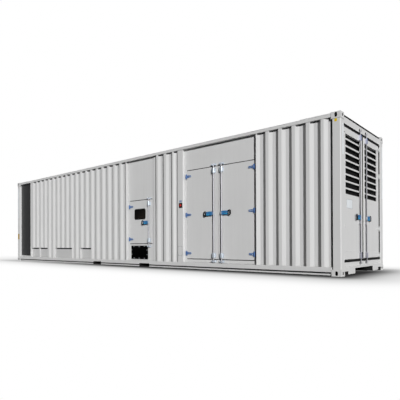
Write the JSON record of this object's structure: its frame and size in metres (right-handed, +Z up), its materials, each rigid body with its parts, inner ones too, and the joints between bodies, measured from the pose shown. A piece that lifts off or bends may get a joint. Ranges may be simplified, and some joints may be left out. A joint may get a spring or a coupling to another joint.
{
  "type": "containerised diesel generator set",
  "caption": "Sound-proofed diesel generator set in a corrugated steel shipping-container enclosure, with hinged service doors on one side and louvred doors at one end.",
  "frame": {"origin": "centre of the base, on the plane under the bottom corner castings", "axes": "+X along the length towards the louvred doors, +Y across the width away from the service doors, +Z up"},
  "size_m": [12.192, 2.438, 2.896],
  "materials": {
    "body_paint": "satin light grey-white enamel",
    "black_paint": "satin black enamel",
    "black_rubber": "matt black rubber",
    "underframe_paint": "matt grey underframe paint",
    "floor_steel": "painted chequer plate",
    "red_plastic": "gloss red",
    "hinge_paint": "dark blue-grey coated steel",
    "zinc_steel": "bright zinc-plated steel",
    "dark_glass": "dark tinted glass"
  },
  "bodies": {
    "enclosure": {"corner_castings_bottom": "body_paint", "corner_castings_top": "body_paint", "corner_posts": "body_paint", "bottom_side_rails": "body_paint", "top_side_rails": "body_paint", "sill_louvre_end": "body_paint", "header_louvre_end": "body_paint", "roof_edge_seal": "black_rubber", "louvre_door_frame": "body_paint", "sill_blind_end": "body_paint", "header_blind_end": "body_paint", "end_wall_blind": "body_paint", "rear_wall": "body_paint", "roof_panel": "body_paint", "roof_hatch": "body_paint", "floor_plate": "floor_steel", "cross_members": "underframe_paint", "gooseneck_tunnel": "underframe_paint", "fork_pockets": "underframe_paint", "signage_panel": "black_paint", "wall_left": "body_paint", "lower_recess_panels": "body_paint", "control_bay_panel": "body_paint", "cable_entry_panel": "black_paint", "wall_middle": "body_paint", "switch_post": "body_paint", "estop_box": "black_paint", "estop_button": "red_plastic", "access_cover": "body_paint", "engine_bay_frame": "body_paint", "wall_right": "body_paint", "hinge_pins": "hinge_paint", "lock_keepers": "zinc_steel"},
    "control_leaf": {"control_door": "body_paint", "control_door_window": "dark_glass"},
    "control_lock": {"control_door_lock": "zinc_steel", "control_lock_grip": "black_rubber"},
    "engine_leaf_left": {"engine_door_left": "body_paint"},
    "engine_rod_left": {"engine_lock_left": "zinc_steel", "engine_grip_left": "black_rubber"},
    "engine_leaf_right": {"engine_door_right": "body_paint"},
    "engine_rod_right": {"engine_lock_right": "zinc_steel", "engine_grip_right": "black_rubber"},
    "louvre_leaf_left": {"louvre_door_left": "body_paint", "louvre_bank_left": "body_paint"},
    "louvre_rod_left": {"louvre_lock_left": "body_paint", "louvre_grip_left": "black_rubber"},
    "louvre_leaf_right": {"louvre_door_right": "body_paint", "louvre_bank_right": "body_paint"},
    "louvre_rod_right": {"louvre_lock_right": "body_paint", "louvre_grip_right": "black_rubber"}
  },
  "joints": [
    {"name": "control_door_hinge", "type": "hinge", "parent": "enclosure", "child": "control_leaf", "pos_m": [0.337, -1.16, 0], "axis": [0, 0, -1], "range_deg": [0, 110]},
    {"name": "control_lock_turn", "type": "hinge", "parent": "control_leaf", "child": "control_lock", "pos_m": [1.11, -1.176, 0], "axis": [0, 0, 1], "range_deg": [0, 90]},
    {"name": "engine_door_left_hinge", "type": "hinge", "parent": "enclosure", "child": "engine_leaf_left", "pos_m": [2.418, -1.16, 0], "axis": [0, 0, -1], "range_deg": [0, 110]},
    {"name": "engine_lock_left_turn", "type": "hinge", "parent": "engine_leaf_left", "child": "engine_rod_left", "pos_m": [3.232, -1.176, 0], "axis": [0, 0, 1], "range_deg": [0, 90]},
    {"name": "engine_door_right_hinge", "type": "hinge", "parent": "enclosure", "child": "engine_leaf_right", "pos_m": [4.28, -1.16, 0], "axis": [0, 0, 1], "range_deg": [0, 110]},
    {"name": "engine_lock_right_turn", "type": "hinge", "parent": "engine_leaf_right", "child": "engine_rod_right", "pos_m": [3.45, -1.176, 0], "axis": [0, 0, -1], "range_deg": [0, 90]},
    {"name": "louvre_door_left_hinge", "type": "hinge", "parent": "enclosure", "child": "louvre_leaf_left", "pos_m": [6.078, -1.043, 0], "axis": [0, 0, -1], "range_deg": [0, 180]},
    {"name": "louvre_lock_left_turn", "type": "hinge", "parent": "louvre_leaf_left", "child": "louvre_rod_left", "pos_m": [6.08, -0.174, 0], "axis": [0, 0, 1], "range_deg": [0, 90]},
    {"name": "louvre_door_right_hinge", "type": "hinge", "parent": "enclosure", "child": "louvre_leaf_right", "pos_m": [6.078, 1.043, 0], "axis": [0, 0, 1], "range_deg": [0, 180]},
    {"name": "louvre_lock_right_turn", "type": "hinge", "parent": "louvre_leaf_right", "child": "louvre_rod_right", "pos_m": [6.08, 0.174, 0], "axis": [0, 0, -1], "range_deg": [0, 90]}
  ]
}
